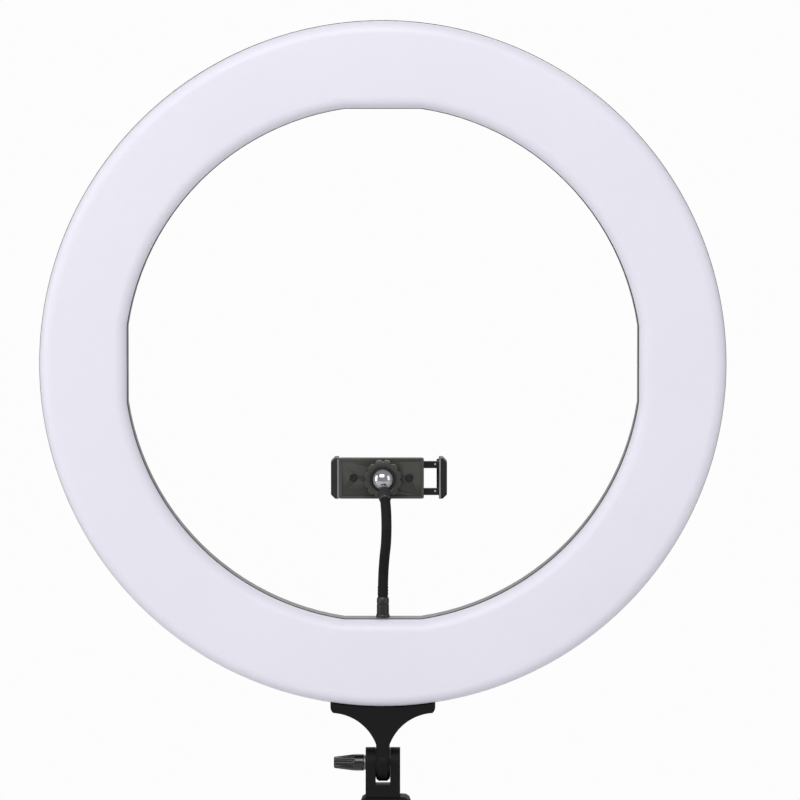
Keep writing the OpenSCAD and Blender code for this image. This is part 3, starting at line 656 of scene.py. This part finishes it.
def build_ferrules():
    """Lower and upper end fittings, turned with a fine groove each."""
    low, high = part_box("neck_ferrule")
    foot = centre("neck_ferrule")
    foot.z = low.z
    height = high.z - low.z
    r = 4.4 * MM
    groove_r = r - 0.25 * MM
    flange = [(3.2 * MM, 0), (4.7 * MM, 0), (4.9 * MM, 0.2 * MM), (4.9 * MM, 1.9 * MM),
              (4.7 * MM, 2.2 * MM), (r, 2.3 * MM)]
    groove = [(r, height * 0.62), (groove_r, height * 0.64), (groove_r, height * 0.67),
              (r, height * 0.69)]
    mouth = [(r, height - 1.7 * MM), (r - 0.3 * MM, height - 0.9 * MM),
             (NECK_R + 0.1 * MM, height - 0.2 * MM), (NECK_R - 0.3 * MM, height)]
    piece = lathe("neck_foot_fitting", "head", "neck_fitting", flange + groove + mouth,
                  stand_along(foot, UP))
    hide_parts("neck_ferrule")
    profile = [(NECK_R - 0.3 * MM, 0), (NECK_R + 0.1 * MM, 0.2 * MM), (4.3 * MM, 1.2 * MM),
               (r, 1.7 * MM), (r, 4.6 * MM), (4.15 * MM, 4.8 * MM),
               (4.15 * MM, 5.2 * MM), (r, 5.4 * MM), (r, 8.7 * MM),
               (4.1 * MM, 9.5 * MM), (3.6 * MM, 10.1 * MM), (3.1 * MM, 10.2 * MM)]
    top = BALL - STEM_AXIS * TOP_RUN
    piece = lathe("neck_top_fitting", "neck_head", "neck_fitting", profile,
                  stand_along(top, STEM_AXIS))
    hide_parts("neck_top_ferrule")


# ---------------------------------------------------------------- ball joint


def build_ball():
    """Polished ball with a blind bore for the neck's stem."""
    r = 8.5 * MM
    bore = 3.05 * MM
    bore_end = -2 * MM
    start, end = -math.degrees(math.acos(bore / r)), 89.9
    profile = [(bore, bore_end)] + arc(0, 0, r, start, end, 48)
    piece = lathe("ball_chrome", "ball", "chrome", profile, stand_along(BALL, STEM_AXIS))
    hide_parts("clamp_ball")


def build_nut():
    """Scalloped lock nut with a flared lip; soft crests and valleys."""
    scallops = 12
    plain_r, outer = 12.2 * MM, 13.6 * MM
    depth = 1.2 * MM
    narrowing, deepening = 3, 1.15

    def wave(radius, angle):
        if radius < plain_r:
            return radius
        share = (radius - plain_r) / (outer - plain_r)
        valley = (0.5 + 0.5 * math.cos(scallops * angle)) ** narrowing
        return radius - share * depth * valley * deepening

    profile = [(11.06, -9.6), (12.9, -9.6), (13.45, -9.2), (13.6, -8.6), (13.6, 2.2),
               (13.35, 2.9), (12.7, 3.32), (10.6, 3.4), (10.15, 3.25), (9.2, 2.75),
               (9.6, 0.8), (9.6, 0.6), (11.06, 0.6)]
    profile = [(r * MM, z * MM) for r, z in profile]
    made = bmesh.new()
    segments = 24 * scallops
    rings = [ring_of(made, r, z, segments, wave) for r, z in profile]
    bridge(made, rings, close_path=True)
    bmesh.ops.transform(made, matrix=stand_along(BALL, VIEWER), verts=made.verts)
    piece = new_piece("ball_lock_nut", "nut", "clamp_plastic", made, 40.0)
    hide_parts("ball_nut")


def build_return_spring():
    """Coil between the clamp's left wall and the rails, stretched by the sliding jaw."""
    low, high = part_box("return_spring")
    middle = centre("return_spring")
    wire = 0.25 * MM
    coil = (high.z - low.z) / 2 - wire
    turns, steps, segments = 14, 20, 8
    made = bmesh.new()
    rings = []
    for i in range(turns * steps + 1):
        turn = 2 * math.pi * i / steps
        outward = Vector((0, math.cos(turn), math.sin(turn)))
        x = low.x + wire + (high.x - low.x - 2 * wire) * i / (turns * steps)
        point = Vector((x, middle.y, middle.z)) + outward * coil
        rings.append([
            made.verts.new(point + (outward * math.cos(b) + RIGHT * math.sin(b)) * wire)
            for b in (2 * math.pi * k / segments for k in range(segments))])
    bridge(made, rings)
    made.faces.new(rings[0])
    made.faces.new(rings[-1])
    piece = new_piece("coil_spring", None, "steel", made, 60.0)
    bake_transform(piece)
    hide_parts("return_spring")


def build_painted_jaw_highlights():
    """Painted highlight strips on the front of each jaw, along its inner edge: light grey bars
    that stand for light caught on the rounded edge.
    """
    jaw_low, jaw_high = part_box("sliding_jaw")
    off_pad = 0.7 * MM
    fixed_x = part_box("fixed_pad")[0].x - off_pad
    sliding_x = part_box("sliding_pad")[1].x + off_pad
    size = (1.1 * MM, 0.5 * MM, jaw_high.z - jaw_low.z - 1.2 * MM)
    y = jaw_low.y + 0.15 * MM
    middle = (jaw_low.z + jaw_high.z) / 2
    # Each bar is a painted highlight along the jaw's inner edge.
    for side, body, x in (("fixed", "clamp", fixed_x), ("sliding", "jaw", sliding_x)):
        made = tiny_bar(size, (x, y, middle), 0.09 * MM)
        piece = new_piece(side + "_jaw_highlight_strip", body, "jaw_plastic", made)
        dress(piece, "jaw_highlight_strip")


# ---------------------------------------------------------------- clamping knobs


def build_fluted_knob(name, body, node, origin, axis, base_r, base_l, tip_r, taper_l):
    """Knob with a plain collar and eight flutes that fade in along a tapering grip."""
    flutes = 8
    segments = 24 * flutes
    taper_steps = 24
    length = base_l + taper_l
    chamfer, tip_bend = 0.35 * MM, 1.2 * MM
    fade_in, fade_out = 1.6 * MM, 0.8 * MM
    depth, narrowing = 0.16 * base_r, 1.6
    stations = [(base_r - chamfer, 0), (base_r, chamfer), (base_r, base_l - 0.3 * MM),
                (base_r - 0.12 * MM, base_l)]
    for k in range(1, taper_steps + 1):
        t = k / taper_steps
        stations.append((base_r + (tip_r - base_r) * t, base_l + (taper_l - tip_bend) * t))
    stations += arc(tip_r - tip_bend, length - tip_bend, tip_bend, 15, 90, 5)
    stations.append((tip_r * 0.4, length))

    def groove_at(z):
        into = min(max((z - base_l) / fade_in, 0), 1)
        out = min(max((length - z) / fade_out, 0), 1) if z > length - fade_out else 1

        def groove(radius, angle):
            valley = (0.5 - 0.5 * math.cos(flutes * angle)) ** narrowing
            return radius - depth * valley * into * out

        return groove

    made = bmesh.new()
    rings = [ring_of(made, r, z, segments, groove_at(z)) for r, z in stations]
    bridge(made, rings)
    cap(made, rings[0], 0)
    cap(made, rings[-1], length)
    bmesh.ops.transform(made, matrix=stand_along(origin, axis), verts=made.verts)
    piece = new_piece(name, body, "knob_plastic", made, 32.0)
    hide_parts(node)


def build_knobs():
    """The tilt knob on the left and the stand's lock knob on the right."""
    low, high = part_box("tilt_knob")
    pivot = joint_pos("tilt_knob_turn")
    build_fluted_knob(
        "tilt_clamp_knob", "tilting_knob", "tilt_knob",
        origin=Vector((high.x, pivot.y, pivot.z)), axis=-RIGHT,
        base_r=(high.z - low.z) / 2, base_l=6.6 * MM, tip_r=4.2 * MM, taper_l=15 * MM)
    low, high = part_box("lock_knob")
    pivot = joint_pos("lock_knob_turn")
    build_fluted_knob(
        "stand_lock_knob", "locking_knob", "lock_knob",
        origin=Vector((low.x, pivot.y, pivot.z)), axis=RIGHT,
        base_r=(high.z - low.z) / 2, base_l=7 * MM, tip_r=5.6 * MM, taper_l=15 * MM)


# ---------------------------------------------------------------- dials


def build_dial_marks():
    """A painted pointer on each dial, whose face is lowered to make room for it."""
    sunk = 0.12 * MM
    for side in ("brightness", "colour"):
        node = side + "_knob"
        low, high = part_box(node)
        middle = centre(node)
        for vertex in softened[node].data.vertices:
            if vertex.co.y > high.y - sunk:
                vertex.co.y -= sunk
        place = (middle.x, high.y - 0.09 * MM, middle.z + 4.6 * MM)
        made = tiny_bar((0.9 * MM, 0.16 * MM, 5 * MM), place, 0.05 * MM)
        piece = new_piece(side + "_pointer", side + "_dial", "steel", made)
        dress(piece, "marking")


# ---------------------------------------------------------------- stage, light and camera


def build_stage():
    """A pale floor well below the light, which stands on a tall stand in use."""
    half_size, cells = 2.6, 8
    middle = (0, 0.3, -0.5)
    made = bmesh.new()
    bmesh.ops.create_grid(made, x_segments=cells, y_segments=cells, size=half_size)
    bmesh.ops.translate(made, vec=middle, verts=made.verts)
    data = bpy.data.meshes.new("floor")
    made.to_mesh(data)
    made.free()
    floor = bpy.data.objects.new("floor", data)
    bpy.context.scene.collection.objects.link(floor)
    pale = Material("pale_floor", (0.82, 0.82, 0.82), 0.7)
    pale.vary_colour(2, 1.01, 0.99)
    data.materials.append(pale.material)


def area_light(name, place, size, power):
    """A softbox aimed at the ring's centre."""
    light = bpy.data.lights.new(name, "AREA")
    light.shape = "RECTANGLE"
    light.size, light.size_y = size
    light.energy = power
    holder = bpy.data.objects.new(name, light)
    holder.location = place
    aim = RING_CENTRE - Vector(place)
    holder.rotation_euler = aim.to_track_quat("-Z", "Y").to_euler()
    bpy.context.scene.collection.objects.link(holder)


# What the camera sees behind the object, and the dimmer fill that lights it.
SEEN_STRENGTH, FILL_STRENGTH = 0.98, 0.42
WHITE = (1, 1, 1, 1)

# Softboxes: name, place, width and height in metres, power in watts.
SOFTBOXES = (
    ("key_softbox", (-0.5, -2.6, 2.4), (2.4, 1.6), 62),
    ("side_softbox", (2.4, -1.4, 0.9), (1.2, 2.0), 11),
    ("side_softbox_left", (-2.4, -0.9, 0.7), (1.2, 2.0), 16),
    ("back_softbox", (0.4, 2.6, 1.8), (2.2, 1.4), 14),
)


def build_lights():
    """A white surround that lights less than it shows, and four softboxes."""
    world = bpy.data.worlds.new("studio")
    bpy.context.scene.world = world
    world.use_nodes = True
    tree = world.node_tree
    output = tree.nodes["World Output"]
    seen = tree.nodes["Background"]
    seen.inputs["Color"].default_value = WHITE
    seen.inputs["Strength"].default_value = SEEN_STRENGTH
    fill = tree.nodes.new("ShaderNodeBackground")
    fill.inputs["Color"].default_value = WHITE
    fill.inputs["Strength"].default_value = FILL_STRENGTH
    rays = tree.nodes.new("ShaderNodeLightPath")
    choose = tree.nodes.new("ShaderNodeMixShader")
    tree.links.new(rays.outputs["Is Camera Ray"], choose.inputs["Fac"])
    tree.links.new(fill.outputs["Background"], choose.inputs[1])
    tree.links.new(seen.outputs["Background"], choose.inputs[2])
    tree.links.new(choose.outputs["Shader"], output.inputs["Surface"])
    for softbox in SOFTBOXES:
        area_light(*softbox)


# The camera: metres, and the lens and sensor in millimetres.
CAMERA_DISTANCE = 4.2
CAMERA_RISE = math.radians(3.7)
CAMERA_AIM = Vector((12.23 * MM, 0, -25.44 * MM))
SENSOR = 36.0
LENS_LENGTH = 264.9


def build_camera():
    """Looks slightly down on the ring, which sits left of and above the frame's middle."""
    target = Vector((RING_CENTRE.x, SEAM_Y, RING_CENTRE.z)) + CAMERA_AIM
    away = Vector((0, -math.cos(CAMERA_RISE), math.sin(CAMERA_RISE)))
    lens = bpy.data.cameras.new("camera")
    lens.sensor_width = SENSOR
    lens.lens = LENS_LENGTH
    lens.clip_end = 50
    camera = bpy.data.objects.new("camera", lens)
    camera.location = target + away * CAMERA_DISTANCE
    camera.rotation_euler = (-away).to_track_quat("-Z", "Y").to_euler()
    bpy.context.scene.collection.objects.link(camera)
    bpy.context.scene.camera = camera
    bpy.context.scene.view_settings.view_transform = "Standard"


# ---------------------------------------------------------------- assembly

build_camera()

for node, cad in nodes.items():
    dress(cad, SLOT_OF[node])

build_lens()
build_rim()
build_neck()
build_ferrules()
build_ball()
build_nut()
build_return_spring()
build_painted_jaw_highlights()
build_knobs()

# The fixed jaw is the part of the clamp's body left of JAW_X.
JAW_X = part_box("fixed_pad")[0].x

# Width of the rounded edges of each softened node, in millimetres.
EDGE_WIDTHS = {
    "rear_housing": 0.3, "control_cover": 1.2, "bracket": 0.9, "fork": 0.8,
    "socket_body": 0.8, "clamp_body": 0.45, "clamp_back": 0.4, "sliding_jaw": 0.45,
    "fixed_pad": 0.2, "sliding_pad": 0.2, "brightness_knob": 0.3, "colour_knob": 0.3,
    "switch_frame": 0.4, "switch_rocker": 0.3, "tilt_washer": 0.15, "housing_screws": 0.15,
    "cover_screws": 0.15, "clamp_screws": 0.12, "bracket_screws": 0.2,
    "friction_washers": 0.1, "pivot_nut": 0.25, "ball_seat": 0.15,
}
softened = {}
for part, width in EDGE_WIDTHS.items():
    cut_x = JAW_X if part == "clamp_body" else None
    softened[part] = soften(part, width * MM, cut_x)
dress(softened["tilt_washer"], "dull_steel")


def on_reflecting_wall(middle, normal):
    """Holds for the wall around the opening, whose lighter grey is a painted reflection of the
    white surround at a grazing angle.
    """
    from_centre = Vector((middle.x - RING_CENTRE.x, 0, middle.z - RING_CENTRE.z))
    return from_centre.length < OPENING_R + RIM and abs(normal.y) < 0.5


def on_fixed_jaw(middle, normal):
    """Holds for the fixed jaw, which is glossier than the body it is moulded with."""
    return middle.x < JAW_X


# The housing's inner wall gets the painted reflection.
repaint(softened["rear_housing"], "wall_reflection_paint", on_reflecting_wall)
repaint(softened["clamp_body"], "jaw_plastic", on_fixed_jaw)
build_dial_marks()
build_stage()
build_lights()
